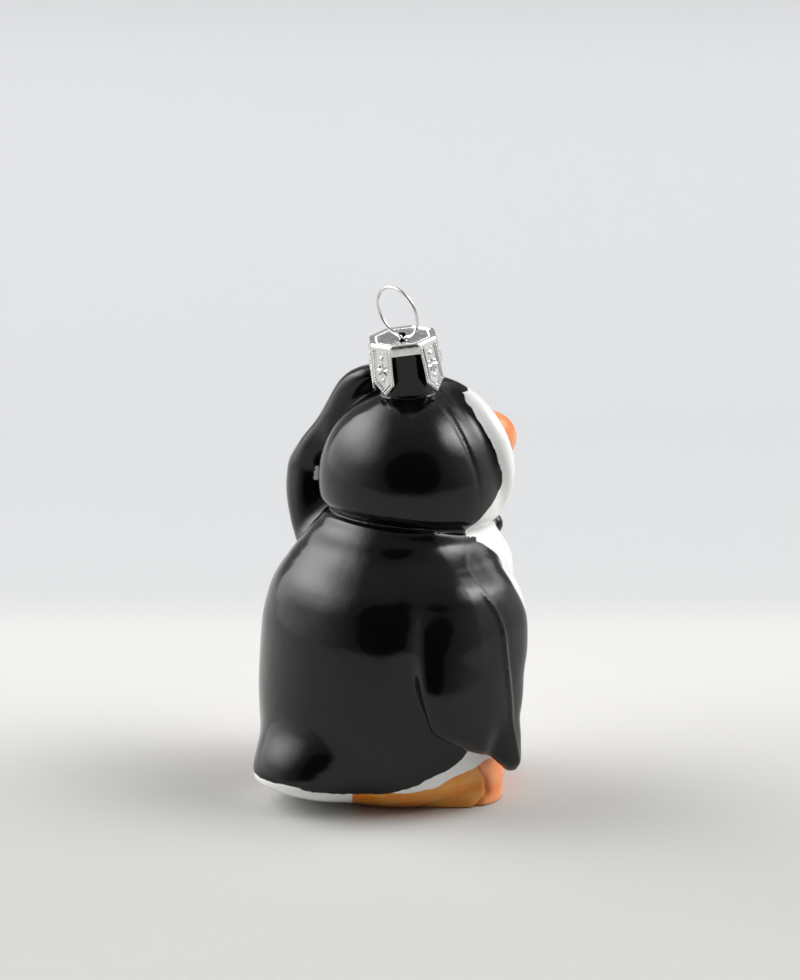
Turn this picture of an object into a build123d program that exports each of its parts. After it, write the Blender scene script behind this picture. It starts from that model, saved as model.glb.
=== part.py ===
from build123d import *
import os
from math import asin, atan2, cos, degrees, radians, sin, sqrt

# A hanging glass penguin that also stands: one hollow blown and lacquered figure, a pressed metal cap on
# its neck, and a sprung wire loop held in the cap. Millimetres, Z up, the figure faces -Y, and the origin
# is on the surface that it stands on, below the neck.

# Glass
glass_wall = 0.8

# Body, turned about an axis that leans forward and cut flat where it stands. Each rise is from the one before.
body_lean = 7.2
body_axis_y = 6.4
keel_radius = 10.0
keel_depth = 4.0
base_radius = 17.4
hem_radius = 23.0
hem_rise = 5.0
hip_radius = 24.5
hip_rise = 5.0
belly_radius = 26.0
belly_rise = 17.0
chest_radius = 24.0
chest_rise = 14.0
shoulder_radius = 20.2
shoulder_rise = 6.0
collar_radius = 10.8
collar_rise = 8.5
heel_y = 19.5
heel_slope = 16.7

# Head ball, and the two flat cheeks of the face in front of it, smaller than the ball and set back from its front
head_radius = 18.1
head_y = -1.5
head_rise = 4.3
cheek_inset = 3.4
cheek_half_depth = 6.1
cheek_spread = 2.8
cheek_set_back = 8.9
face_rise = 4.3
face_tilt = 10.0

# Beak, rump, tail, feet and bow, each sunk into what it grows from
oval_rim_share = 0.75
beak_radius = 4.8
beak_length = 9.6
beak_rise = 1.1
rump_radius = 18.9
rump_half_height = 13.6
rump_sink = 17.3
rump_tilt = -15.0
rump_z = 11.2
tail_radius = 14.2
tail_half_height = 9.75
tail_sink = 9.6
tail_tilt = -24.7
tail_z = 9.2
foot_length = 18.4
foot_width = 22.6
foot_height = 8.0
foot_corner = 8.0
foot_round = 3.5
foot_turn = 40.0
foot_forward = 9.2
foot_outward = 8.3
bow_radius = 2.7
bow_spread = 4.2
bow_drop = 6.2
bow_y = -16.6
ribbon_radius = 2.0
knot_radius = 2.2
knot_forward = 1.9

# Flippers as level ovals: rise from the shoulder, centre x, centre y, half thickness in x, half width in y.
# The raised one leans on the head, so its x is from the head's side, and a hollow palm is pressed into its back.
hanging_flipper = [
    (-39.3, -27.4, -2.7, 1.2, 1.6),
    (-36.0, -27.4, -0.2, 2.4, 4.6),
    (-33.0, -27.2, 2.8, 3.0, 7.8),
    (-28.0, -26.6, 5.4, 3.8, 10.8),
    (-21.0, -25.5, 5.2, 4.5, 12.3),
    (-11.0, -23.3, 3.2, 5.3, 12.6),
    (-4.5, -20.3, 2.2, 5.8, 10.2),
    (0.5, -15.8, 0.6, 5.4, 8.0),
    (4.0, -10.0, -1.2, 3.0, 4.2),
]
raised_flipper = [
    (-6.0, -1.6, 1.5, 5.0, 5.0),
    (-2.4, 2.9, 1.5, 7.1, 7.0),
    (1.0, 4.1, 1.2, 8.0, 7.2),
    (8.0, 6.3, 0.4, 8.3, 6.8),
    (15.5, 4.2, 0.0, 7.3, 6.2),
    (21.0, 0.3, -0.5, 6.5, 5.6),
    (27.0, -3.2, -1.1, 5.9, 5.2),
    (31.4, -5.8, -1.3, 4.2, 4.4),
    (33.2, -7.5, -1.4, 1.8, 2.0),
]
palm_radius = 10.0
palm_half_width = 3.0
palm_out = 2.2
palm_y = 13.0
palm_rise = 10.5

# Neck, leaning back
neck_radius = 5.4
neck_length = 12.0
neck_sink = 2.4
neck_y = -0.6
neck_lean = 8.0

# Cap, pressed from sheet: an eight-sided top with a lip, six pointed petals and two open sides
cap_sheet = 0.3
cap_clearance = 0.6
cap_seat_gap = 0.05
cap_turn = 144.0
cap_sides = 8
lip_height = 1.6
petal_width = 4.7
petal_point = 2.2
petal_clearance = 2.4
slot_length = 6.4
slot_width = 1.5

# Sprung wire loop
wire_diameter = 0.62
loop_radius = 5.1
loop_rise = 0.15
waist_rise = 0.6
loop_lean = 7.5
loop_turn = 4.6
waist_gap = 0.28
waist_bend = 0.6
hanger_offset = 2.2
leg_reach = 10.0
leg_clearance = 0.9


hem_height = hem_rise
hip_height = hem_height + hip_rise
belly_height = hip_height + belly_rise
chest_height = belly_height + chest_rise
shoulder_height = chest_height + shoulder_rise
collar_height = shoulder_height + collar_rise


def ball(radius, centre, inset):
    """A ball, drawn in by inset."""
    with BuildPart(Plane(centre)) as form:
        Sphere(radius - inset)
    return form.part


def flat_oval(radius, half_height, centre, axis, inset):
    """A flattened ball about the axis direction, turned from three tangent arcs and drawn in by inset."""
    rim = oval_rim_share * half_height
    rim_out = radius - rim
    crown = (rim_out**2 + half_height**2 - rim**2) / (2 * (half_height - rim))
    crown_in = crown - half_height
    turn = degrees(atan2(crown_in, rim_out))
    across = axis.cross(axis.cross(Vector(0, 0, 1)))
    plane = Plane(origin=centre, x_dir=across, z_dir=across.cross(axis))
    with BuildPart() as form:
        with BuildSketch(plane):
            with BuildLine():
                under = CenterArc((0, crown_in), crown - inset, -90, 90 - turn)
                CenterArc((rim_out, 0), rim - inset, -turn, 2 * turn)
                over = CenterArc((0, -crown_in), crown - inset, turn, 90 - turn)
                Line(over @ 1, under @ 0)
            make_face()
        revolve(axis=Axis(plane.origin, plane.y_dir))
    return form.part


def turned_body(inset):
    """The body's bulb about its leaning axis, drawn in by inset."""
    lean = radians(body_lean)
    axis_up = Vector(0, -sin(lean), cos(lean))
    foot = Vector(0, body_axis_y, 0)
    profile_plane = Plane(origin=foot, x_dir=(1, 0, 0), z_dir=Vector(1, 0, 0).cross(axis_up))
    heights = [-keel_depth + inset, 0, hem_height, hip_height, belly_height, chest_height, shoulder_height]
    radii = [keel_radius, base_radius, hem_radius, hip_radius, belly_radius, chest_radius, shoulder_radius]
    outline = [(r - inset, h) for r, h in zip(radii, heights)]
    outline.append((collar_radius - inset, collar_height - inset))
    with BuildPart() as form:
        with BuildSketch(profile_plane):
            with BuildLine():
                side = Spline(*outline)
                Polyline(side @ 1, (0, collar_height - inset), (0, -keel_depth + inset), side @ 0)
            make_face()
        revolve(axis=Axis(foot, axis_up))
    return form.part


def flipper(sections, from_x, inset):
    """A flipper lofted through level ovals, drawn in by inset where it is thick enough."""
    with BuildPart() as form:
        for rise, x, y, half_thickness, half_width in sections:
            if half_thickness > 3 * inset:
                with BuildSketch(Plane((from_x + x, y, shoulder_height + rise))):
                    Ellipse(half_thickness - inset, half_width - inset)
        loft()
    return form.part


def beak(inset):
    """A round-ended beak that grows out of the middle of the face, drawn in by inset."""
    root = Plane(origin=(0, face_y - cheek_half_depth / 2, beak_z), x_dir=(1, 0, 0), z_dir=(0, -1, 0))
    length = beak_length - beak_radius + cheek_half_depth / 2
    with BuildPart() as form:
        with BuildSketch(root):
            Circle(beak_radius - inset)
        extrude(amount=length)
        add(ball(beak_radius, root.offset(length).origin, inset))
    return form.part


def foot(side, inset):
    """One broad foot, a slab with round edges whose toes point forward and outward, drawn in by inset."""
    turn = radians(foot_turn)
    toes = Vector(side * sin(turn), -cos(turn), 0)
    outer = Vector(side * cos(turn), sin(turn), 0)
    slab_plane = Plane(origin=toes * foot_forward + outer * foot_outward, x_dir=toes, z_dir=(0, 0, 1))
    with BuildPart() as form:
        with BuildSketch(slab_plane):
            RectangleRounded(foot_length - 2 * inset, foot_width - 2 * inset, foot_corner - inset)
        extrude(amount=foot_height - inset)
        fillet(form.faces().sort_by(Axis.Z)[-1].edges(), foot_round - inset)
    return form.part


head_z = collar_height + head_rise
cheek_radius = head_radius - cheek_inset
face_y = head_y - head_radius + cheek_set_back
face_z = head_z + face_rise
beak_z = face_z + beak_rise
rump_y = body_axis_y + hip_radius - rump_sink
tail_y = body_axis_y + hip_radius - tail_sink
bow_z = collar_height - bow_drop

face_axis = Vector(0, -cos(radians(face_tilt)), sin(radians(face_tilt)))
rump_axis = Vector(0, -sin(radians(rump_tilt)), cos(radians(rump_tilt)))
tail_axis = Vector(0, -sin(radians(tail_tilt)), cos(radians(tail_tilt)))
palm_centre = (head_radius + palm_out, palm_y, shoulder_height + palm_rise)
heel_plane = Plane(
    origin=(0, heel_y, 0),
    x_dir=(1, 0, 0),
    z_dir=(0, -sin(radians(heel_slope)), cos(radians(heel_slope))),
)


def figure_form(inset):
    """Every blown form together, drawn in by inset, flat where it stands and cut up at the heel."""
    with BuildPart() as form:
        add(turned_body(inset))
        add(ball(head_radius, (0, head_y, head_z), inset))
        for side in (-1, 1):
            cheek = (side * cheek_spread, face_y, face_z)
            add(flat_oval(cheek_radius, cheek_half_depth, cheek, face_axis, inset))
        add(beak(inset))
        add(flat_oval(tail_radius, tail_half_height, (0, tail_y, tail_z), tail_axis, inset))
        add(flat_oval(rump_radius, rump_half_height, (0, rump_y, rump_z), rump_axis, inset))
        add(flipper(hanging_flipper, 0, inset))
        add(flipper(raised_flipper, head_radius, inset))
        palm = flat_oval(palm_radius, palm_half_width, palm_centre, Vector(1, 0, 0), -inset)
        add(palm, mode=Mode.SUBTRACT)
        add(foot(-1, inset))
        add(foot(1, inset))
        split(bisect_by=Plane.XY.offset(inset), keep=Keep.TOP)
        split(bisect_by=heel_plane.offset(inset), keep=Keep.TOP)
    return form.part


# Glass figure, with its open neck
neck_root = Vector(0, neck_y, head_z + head_radius - neck_sink)
neck_plane = Plane(
    origin=neck_root,
    x_dir=(1, 0, 0),
    z_dir=(0, sin(radians(neck_lean)), cos(radians(neck_lean))),
)
bore_radius = neck_radius - glass_wall
with BuildPart() as hollow:
    add(figure_form(glass_wall))
    with BuildSketch(neck_plane.offset(-2 * neck_sink)):
        Circle(bore_radius)
    extrude(amount=2 * neck_sink + neck_length)
with BuildPart() as glass_figure:
    add(figure_form(0))
    for side in (-1, 1):
        add(ball(bow_radius, (side * bow_spread, bow_y, bow_z), 0))
    add(ball(knot_radius, (0, bow_y - knot_forward, bow_z), 0))
    with BuildSketch(Plane((0, bow_y, bow_z), x_dir=(0, 1, 0), z_dir=(1, 0, 0))):
        Circle(ribbon_radius)
    extrude(amount=bow_spread, both=True)
    with BuildSketch(neck_plane.offset(-neck_sink)):
        Circle(neck_radius)
    extrude(amount=neck_sink + neck_length)
    add(hollow.part, mode=Mode.SUBTRACT)
glass_figure.part.label = "glass_figure"

# Ornament cap, sitting on the neck's lip
slot_direction = neck_plane.x_dir * cos(radians(cap_turn)) + neck_plane.y_dir * sin(radians(cap_turn))
seat_plane = Plane(
    origin=neck_plane.from_local_coords((0, 0, neck_length + cap_seat_gap)),
    x_dir=slot_direction,
    z_dir=neck_plane.z_dir,
)
flat_outer = neck_radius + cap_clearance + cap_sheet
petal_length = neck_length - petal_clearance
with BuildPart() as ornament_cap:
    with BuildSketch(seat_plane):
        RegularPolygon(flat_outer, cap_sides, major_radius=False, rotation=180 / cap_sides)
    extrude(amount=cap_sheet)
    with BuildSketch(seat_plane):
        RegularPolygon(flat_outer, cap_sides, major_radius=False, rotation=180 / cap_sides)
        RegularPolygon(
            flat_outer - cap_sheet, cap_sides, major_radius=False, rotation=180 / cap_sides, mode=Mode.SUBTRACT
        )
    extrude(amount=-lip_height)
    for side in range(cap_sides):
        if side % (cap_sides // 2) == 0:
            continue
        facet_angle = radians(360 / cap_sides * side)
        outward = seat_plane.x_dir * cos(facet_angle) + seat_plane.y_dir * sin(facet_angle)
        petal_plane = Plane(
            origin=seat_plane.origin + outward * flat_outer,
            x_dir=seat_plane.z_dir.cross(outward),
            z_dir=outward,
        )
        with BuildSketch(petal_plane):
            with BuildLine():
                Polyline(
                    (-petal_width / 2, 0),
                    (petal_width / 2, 0),
                    (petal_width / 2, petal_point - petal_length),
                    (0, -petal_length),
                    (-petal_width / 2, petal_point - petal_length),
                    close=True,
                )
            make_face()
        extrude(amount=-cap_sheet)
    with BuildSketch(seat_plane):
        Rectangle(slot_length, slot_width)
    extrude(amount=cap_sheet, mode=Mode.SUBTRACT)
ornament_cap.part.label = "ornament_cap"

# Hanger wire: a round loop that narrows to a waist in the slot, and two legs that spring out in the neck
waist = seat_plane.from_local_coords((hanger_offset, 0, cap_sheet + waist_rise))
loop_across = neck_plane.x_dir * cos(radians(loop_turn)) + neck_plane.y_dir * sin(radians(loop_turn))
loop_back = neck_plane.z_dir.cross(loop_across)
loop_up = neck_plane.z_dir * cos(radians(loop_lean)) + loop_back * sin(radians(loop_lean))
waist_half = (waist_gap + wire_diameter) / 2
loop_centre_up = loop_radius + loop_rise
tangent_angle = asin(loop_radius / sqrt(waist_half**2 + loop_centre_up**2))
side_angle = tangent_angle + asin(waist_half / sqrt(waist_half**2 + loop_centre_up**2))
side_length = sqrt(waist_half**2 + loop_centre_up**2 - loop_radius**2)
leg_spread = bore_radius - wire_diameter / 2 - leg_clearance
leg_foot = neck_plane.from_local_coords((0, 0, neck_length - leg_reach))


def hanger_side(side):
    """Leg end, waist and the point where the side meets the round of the loop."""
    leg_end = leg_foot + loop_across * (side * leg_spread)
    pinch = waist + loop_across * (side * waist_half)
    reach = side_length * sin(side_angle)
    rise = side_length * cos(side_angle)
    shoulder = pinch + loop_across * (side * reach) + loop_up * rise
    return leg_end, pinch, shoulder


left_side = hanger_side(1)
right_side = hanger_side(-1)
loop_top = waist + loop_up * (loop_centre_up + loop_radius)
with BuildPart() as hanger_wire:
    with BuildLine() as wire_path:
        FilletPolyline(*left_side, radius=waist_bend)
        ThreePointArc(left_side[2], loop_top, right_side[2])
        FilletPolyline(*reversed(right_side), radius=waist_bend)
    with BuildSketch(Plane(origin=left_side[0], z_dir=left_side[1] - left_side[0])):
        Circle(wire_diameter / 2)
    sweep()
hanger_wire.part.label = "hanger_wire"

os.makedirs("parts", exist_ok=True)
export_step(glass_figure.part, "parts/glass_figure.step")
export_step(ornament_cap.part, "parts/ornament_cap.step")
export_step(hanger_wire.part, "parts/hanger_wire.step")
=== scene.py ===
from math import cos, pi, radians, sin

import bpy
import numpy as np
from mathutils import Matrix, Vector


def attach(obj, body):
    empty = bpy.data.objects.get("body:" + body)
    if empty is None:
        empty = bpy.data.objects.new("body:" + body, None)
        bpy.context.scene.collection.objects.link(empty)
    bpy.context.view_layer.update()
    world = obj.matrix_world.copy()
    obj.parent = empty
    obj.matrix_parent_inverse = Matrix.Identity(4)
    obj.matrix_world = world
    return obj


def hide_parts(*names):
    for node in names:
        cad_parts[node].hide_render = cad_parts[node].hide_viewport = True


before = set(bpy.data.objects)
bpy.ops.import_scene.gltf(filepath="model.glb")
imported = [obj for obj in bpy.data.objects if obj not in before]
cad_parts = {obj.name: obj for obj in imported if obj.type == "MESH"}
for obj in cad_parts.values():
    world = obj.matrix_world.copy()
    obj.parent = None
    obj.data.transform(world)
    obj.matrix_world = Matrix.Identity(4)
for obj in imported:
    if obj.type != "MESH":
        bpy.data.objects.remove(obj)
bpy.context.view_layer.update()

# Glass figure
# A hollow penguin of thin glass, blown into a two-part mould that leaves a faint seam on the flipper. It is
# coated with glossy lacquer, black behind and white in front, with an orange beak and feet, and its open
# neck takes the cap. Its forms are in millimetres and run into each other, as hot glass leaves a mould.

# Heights along the body's leaning axis, each with the radius there
body_axis_y = 6.4
body_lean = radians(7.2)
body_outline = [
    (-4.0, 10.0), (-1.0, 15.4), (0.0, 17.4), (1.0, 19.3), (2.5, 21.4), (5.0, 23.2), (10.0, 24.5),
    (20.0, 25.7), (30.0, 26.0), (36.0, 25.3), (40.0, 24.0), (43.0, 22.0), (45.0, 20.0), (46.6, 18.7),
    (48.6, 18.0), (50.6, 17.4), (52.0, 16.0), (53.2, 14.0), (55.5, 10.8),
]
soft_from = 37.0
soft_rise = 5.0
soft_reach = 2.0

# The flippers as level ovals: height, centre x and y, half thickness and half width
hanging_flipper = [
    (7.7, -27.4, -2.7, 0.8, 1.0), (9.2, -27.5, -2.3, 1.8, 2.3), (11.0, -27.4, -1.1, 2.4, 3.7),
    (14.0, -27.2, 1.9, 3.0, 6.9), (19.0, -26.6, 5.4, 3.8, 10.8), (25.0, -25.7, 5.4, 4.4, 12.2),
    (31.0, -24.5, 4.2, 4.8, 12.9), (36.0, -23.3, 3.2, 5.3, 12.6), (42.5, -20.3, 2.2, 5.8, 10.2),
    (47.0, -15.6, 0.8, 5.0, 7.6), (50.5, -10.0, -0.8, 2.4, 3.6),
]
raised_flipper = [
    (41.0, 17.0, 1.5, 5.0, 5.0), (44.6, 21.2, 1.5, 7.0, 7.0), (48.0, 23.0, 1.2, 7.2, 7.2),
    (53.0, 24.8, 0.6, 7.6, 7.0), (57.5, 25.4, 0.2, 7.2, 6.6), (62.4, 23.2, 0.0, 6.4, 6.2),
    (67.3, 19.8, -0.5, 5.6, 5.6), (72.1, 16.8, -1.0, 5.3, 5.4), (75.8, 14.4, -1.2, 5.0, 5.2),
    (78.0, 12.6, -1.3, 4.4, 4.6), (79.4, 11.3, -1.4, 3.0, 3.4), (80.2, 10.6, -1.4, 1.0, 1.2),
]

# The open neck, from its root in the head
neck_root = (0.0, -0.6, 75.5)
neck_lean = radians(8.0)
neck_radius = 5.4
neck_length = 12.0
bore_radius = 4.6
bore_depth = 22.0
neck_sunk = 4.0
neck_fillet = 0.5


def through(at, stations, column):
    """A smooth line through one column of the stations, read at the given heights without overshoot."""
    height = np.array([row[0] for row in stations])
    value = np.array([row[column] for row in stations])
    run = np.diff(height)
    rise = np.diff(value) / run
    product = rise[1:] * rise[:-1]
    mean = 2 * product / np.where(product > 0, rise[1:] + rise[:-1], 1)
    slope = np.concatenate(([rise[0]], np.where(product > 0, mean, 0), [rise[-1]]))
    at = np.clip(at, height[0], height[-1])
    i = np.clip(np.searchsorted(height, at, side="right") - 1, 0, len(run) - 1)
    t = (at - height[i]) / run[i]
    ease = t * t * (3 - 2 * t)
    start = slope[i] * run[i] * t * (1 - t) ** 2
    stop = slope[i + 1] * run[i] * t * t * (t - 1)
    return value[i] * (1 - ease) + value[i + 1] * ease + start + stop


def eased(at, start, over):
    """A share that grows from 0 at the start to 1 at the end of a length, which may also run downward."""
    return np.clip((at - start) / over, 0, 1)


def melt(a, b, fillet):
    """Two glass forms run together, with a fillet of about that size where they meet."""
    h = np.clip(fillet - np.abs(a - b), 0, None)
    return np.minimum(a, b) - h * h / (4 * fillet)


def oval(x, y, z, centre, radii, tilt=0.0):
    """Distance to an egg-like form, tilted about X by an angle in degrees."""
    x, y, z = x - centre[0], y - centre[1], z - centre[2]
    c, s = cos(radians(tilt)), sin(radians(tilt))
    y, z = c * y + s * z, c * z - s * y
    near = np.sqrt((x / radii[0]) ** 2 + (y / radii[1]) ** 2 + (z / radii[2]) ** 2)
    steep = np.sqrt((x / radii[0] ** 2) ** 2 + (y / radii[1] ** 2) ** 2 + (z / radii[2] ** 2) ** 2)
    return near * (near - 1) / np.maximum(steep, 1e-9)


def body_bulb(x, y, z):
    """Distance to the body, which is round about an axis that leans forward."""
    c, s = cos(body_lean), sin(body_lean)
    height = c * z - s * (y - body_axis_y)
    back = c * (y - body_axis_y) + s * z
    out = np.sqrt(x * x + back * back)
    soft = soft_reach * eased(height, soft_from, soft_rise)
    near = [through(height + share * soft, body_outline, 1) for share in (-1, -0.5, 0, 0.5, 1)]
    radius = sum(near) / len(near)
    step = 0.6
    slope = (through(height + step, body_outline, 1) - through(height - step, body_outline, 1)) / (2 * step)
    return np.maximum((out - radius) / np.sqrt(1 + slope * slope), height - body_outline[-1][0])


def flipper(x, y, z, sections):
    """Distance to a flipper, given as level ovals."""
    thick, wide = through(z, sections, 3), through(z, sections, 4)
    u = (x - through(z, sections, 1)) / thick
    v = (y - through(z, sections, 2)) / wide
    near = np.sqrt(u * u + v * v)
    steep = np.sqrt((u / thick) ** 2 + (v / wide) ** 2)
    side = near * (near - 1) / np.maximum(steep, 1e-9)
    return np.maximum(side, np.maximum(sections[0][0] - z, z - sections[-1][0]))


def neck_axis(x, y, z):
    """Distance out from the neck's axis, and height along it from the neck's root."""
    y, z = y - neck_root[1], z - neck_root[2]
    c, s = cos(neck_lean), sin(neck_lean)
    return np.sqrt(x * x + (c * y - s * z) ** 2), c * z + s * y


# The round forms of head, bow, chest and tail, and the fillets where they join
head_centre = (0.0, -1.5, 59.8)
head_radii = (18.1, 18.1, 17.9)
face_centre = (0.0, -10.7, 64.1)
face_radii = (17.6, 6.0, 14.6)
face_tilt = -10
face_fillet = 2.0
beak_centre = (0.0, -18.4, 64.7)
beak_radii = (6.2, 7.95, 5.8)
beak_fillet = 0.8
lobe_centre = (4.4, -16.6, 49.3)
lobe_radii = (3.8, 2.4, 2.6)
knot_centre = (0.0, -17.9, 49.3)
knot_radii = (1.8, 2.2, 2.1)
knot_fillet = 0.3
bow_fillet = 0.4
chest_centre = (0.0, -9.0, 44.0)
chest_radii = (16.6, 10.2, 7.8)
chest_fillet = 3.0
tail_centre = (0.0, 26.5, 6.8)
tail_radii = (9.2, 8.1, 6.5)
tail_tilt = -8
tail_fillet = 7.5

# The feet are slabs turned outward, and a slope lifts the glass behind them off the floor
foot_turn = radians(40.0)
foot_middle = (9.2, 8.3)
foot_half = (9.2, 11.3)
foot_corner = 8.0
foot_round = 3.5
foot_height = 8.0
heel_y = 19.5
heel_slope = 0.3
heel_fillet = 2.0
foot_fillet = 1.6

# Soft hollows and swells: depth, middle and half sizes, with None along an axis that they run along
flank_hollow = (1.0, (-18.0, -14.0, 33.0), (9.0, 9.0, 14.0))
back_swell = (1.0, (12.0, 12.0, 47.5), (9.0, 9.0, 4.0))
tip_spoon = (1.2, (None, 2.6, 13.6), (None, 2.4, 3.6))
spoon_side = -24.0
palm_hollow = (2.4, (20.6, None, 57.5), (2.6, None, 7.5))

# The crease under the head, and the lip of the collar below it
crease_depth = 1.3
crease_half = 2.0
crease_fillet = 0.3
collar_lip = 0.4
collar_half = 1.2

# Fillets of the flippers, with what each adds, and where that starts and over what length it grows
edge_fillet = 1.2
rear_fillet = 4.0
rear_heights = (18.0, 16.0)
rear_depths = (0.0, 6.0)
top_fillet = 3.0
top_heights = (41.0, 6.0)
raised_fillet = 1.5
root_fillet = 3.5
root_heights = (54.0, -6.0)

# Lines on the glass, as height and y: the mould's seam, the groove beside the hood and the toes' crease
seam_line = [
    (7.0, -3.6), (9.6, -3.1), (13.3, -2.1), (18.5, -0.9), (24.5, -0.4), (30.5, 0.0), (35.2, 0.2),
    (39.7, 1.2), (42.0, 2.3), (43.8, 3.1), (45.4, 3.4), (46.9, 3.3), (48.7, 1.3), (50.8, -0.8),
]
seam_rise = 0.35
seam_half = 0.5
seam_middle = 29.0
seam_reach = 21.0
seam_side = -15.0
hood_groove = [
    (58.0, -2.6), (61.3, -2.5), (63.3, -2.4), (65.9, -1.9), (68.8, -1.6), (71.4, -1.4), (74.1, -1.5),
    (77.0, -2.9),
]
groove_depth = 0.4
groove_half = 0.6
groove_middle = 69.5
groove_reach = 7.0
groove_sides = (4.0, 4.0)
toe_crease = [
    (0.0, 2.2), (0.6, 1.6), (1.5, 0.7), (2.5, -0.4), (3.7, -0.2), (5.5, 0.3), (8.3, 2.3), (10.0, 3.6),
]
toe_depth = 0.7
toe_half = 0.6
toe_sides = 19.0
toe_top = 9.5


def dent(depth, *ways):
    """How far the surface sinks in a soft hollow, from pairs of distance from its middle and half size."""
    return depth * np.exp(-sum((far / half) ** 2 for far, half in ways))


def hollow(x, y, z, depth, middle, half):
    """A soft hollow about a point, without end along an axis whose half size is None."""
    return dent(depth, *[(p - m, h) for p, m, h in zip((x, y, z), middle, half) if h])


def head_form(x, y, z):
    """Distance to the ball of the head with the fuller face pressed out in front of it."""
    ball = oval(x, y, z, head_centre, head_radii)
    return melt(ball, oval(x, y, z, face_centre, face_radii, face_tilt), face_fillet)


def beak_form(x, y, z):
    """Distance to the round beak."""
    return oval(x, y, z, beak_centre, beak_radii)


def foot_form(x, y, z, side):
    """Distance to one broad foot, a thick slab with round edges whose toes point forward and outward."""
    c, sn = cos(foot_turn), sin(foot_turn)
    fore = np.abs(sn * side * x - c * y - foot_middle[0]) - foot_half[0] + foot_corner
    wide = np.abs(c * side * x + sn * y - foot_middle[1]) - foot_half[1] + foot_corner
    slab = np.minimum(np.maximum(fore, wide), 0) + np.hypot(np.maximum(fore, 0), np.maximum(wide, 0))
    slab = slab - foot_corner + foot_round
    over = z - (foot_height - foot_round)
    away = np.hypot(np.maximum(slab, 0), np.maximum(over, 0))
    return np.minimum(np.maximum(slab, over), 0) + away - foot_round


def bow_form(x, y, z):
    """Distance to the two lobes and the knot of the bow under the chin."""
    lobes = oval(np.abs(x), y, z, lobe_centre, lobe_radii)
    return melt(lobes, oval(x, y, z, knot_centre, knot_radii), knot_fillet)


def trunk_form(x, y, z):
    """Distance to the head on the body, with the crease between them and the collar's lip."""
    groove = dent(groove_depth, (y - through(z, hood_groove, 1), groove_half),
                  (z - groove_middle, groove_reach)) * eased(np.abs(x), *groove_sides)
    flank = hollow(x, y, z, *flank_hollow) - hollow(x, y, z, *back_swell)
    chest = oval(x, y, z, chest_centre, chest_radii)
    body = melt(body_bulb(x, y, z) + flank, chest, chest_fillet)
    head = head_form(x, y, z)
    creased = head + groove + dent(crease_depth, (body, crease_half))
    return melt(creased, body - dent(collar_lip, (head, collar_half)), crease_fillet)


def hanging_form(x, y, z):
    """Distance to the hanging flipper, with the seam that stands on it and its spooned tip."""
    seam = dent(seam_rise, (y - through(z, seam_line, 1), seam_half), (z - seam_middle, seam_reach))
    spoon = hollow(x, y, z, *tip_spoon) * (x < spoon_side)
    return flipper(x, y, z, hanging_flipper) - seam * (x < seam_side) + spoon


def feet_form(x, y, z):
    """Distance to both feet, with the crease that parts the toes on their outer sides."""
    toes = dent(toe_depth, (y - through(z, toe_crease, 1), toe_half))
    toes = toes * (np.abs(x) > toe_sides) * (z < toe_top)
    return np.minimum(foot_form(x, y, z, -1), foot_form(x, y, z, 1)) + toes


def glass(x, y, z):
    """Distance to the outside of the whole figure, with the bore of its neck left open."""
    blend = edge_fillet + rear_fillet * eased(z, *rear_heights) * eased(y, *rear_depths)
    blend = blend + top_fillet * eased(z, *top_heights)
    form = melt(trunk_form(x, y, z), hanging_form(x, y, z), blend)
    palm = hollow(x, y, z, *palm_hollow) * (y > 0)
    blend = raised_fillet + root_fillet * eased(z, *root_heights)
    form = melt(form, flipper(x, y, z, raised_flipper) + palm, blend)
    form = melt(form, oval(x, y, z, tail_centre, tail_radii, tail_tilt), tail_fillet)
    form = melt(form, beak_form(x, y, z), beak_fillet)
    form = melt(form, feet_form(x, y, z), foot_fillet)
    form = melt(form, bow_form(x, y, z), bow_fillet)
    out, up = neck_axis(x, y, z)
    tube = np.maximum(out - neck_radius, np.maximum(-neck_sunk - up, up - neck_length))
    form = melt(form, tube, neck_fillet)
    bore = np.maximum(out - bore_radius, neck_length - bore_depth - up)
    slope = (z - heel_slope * (y - heel_y)) / np.sqrt(1 + heel_slope ** 2)
    heel = -melt(-form, slope, heel_fillet)
    return np.maximum(np.maximum(heel, -bore), -z)


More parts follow.
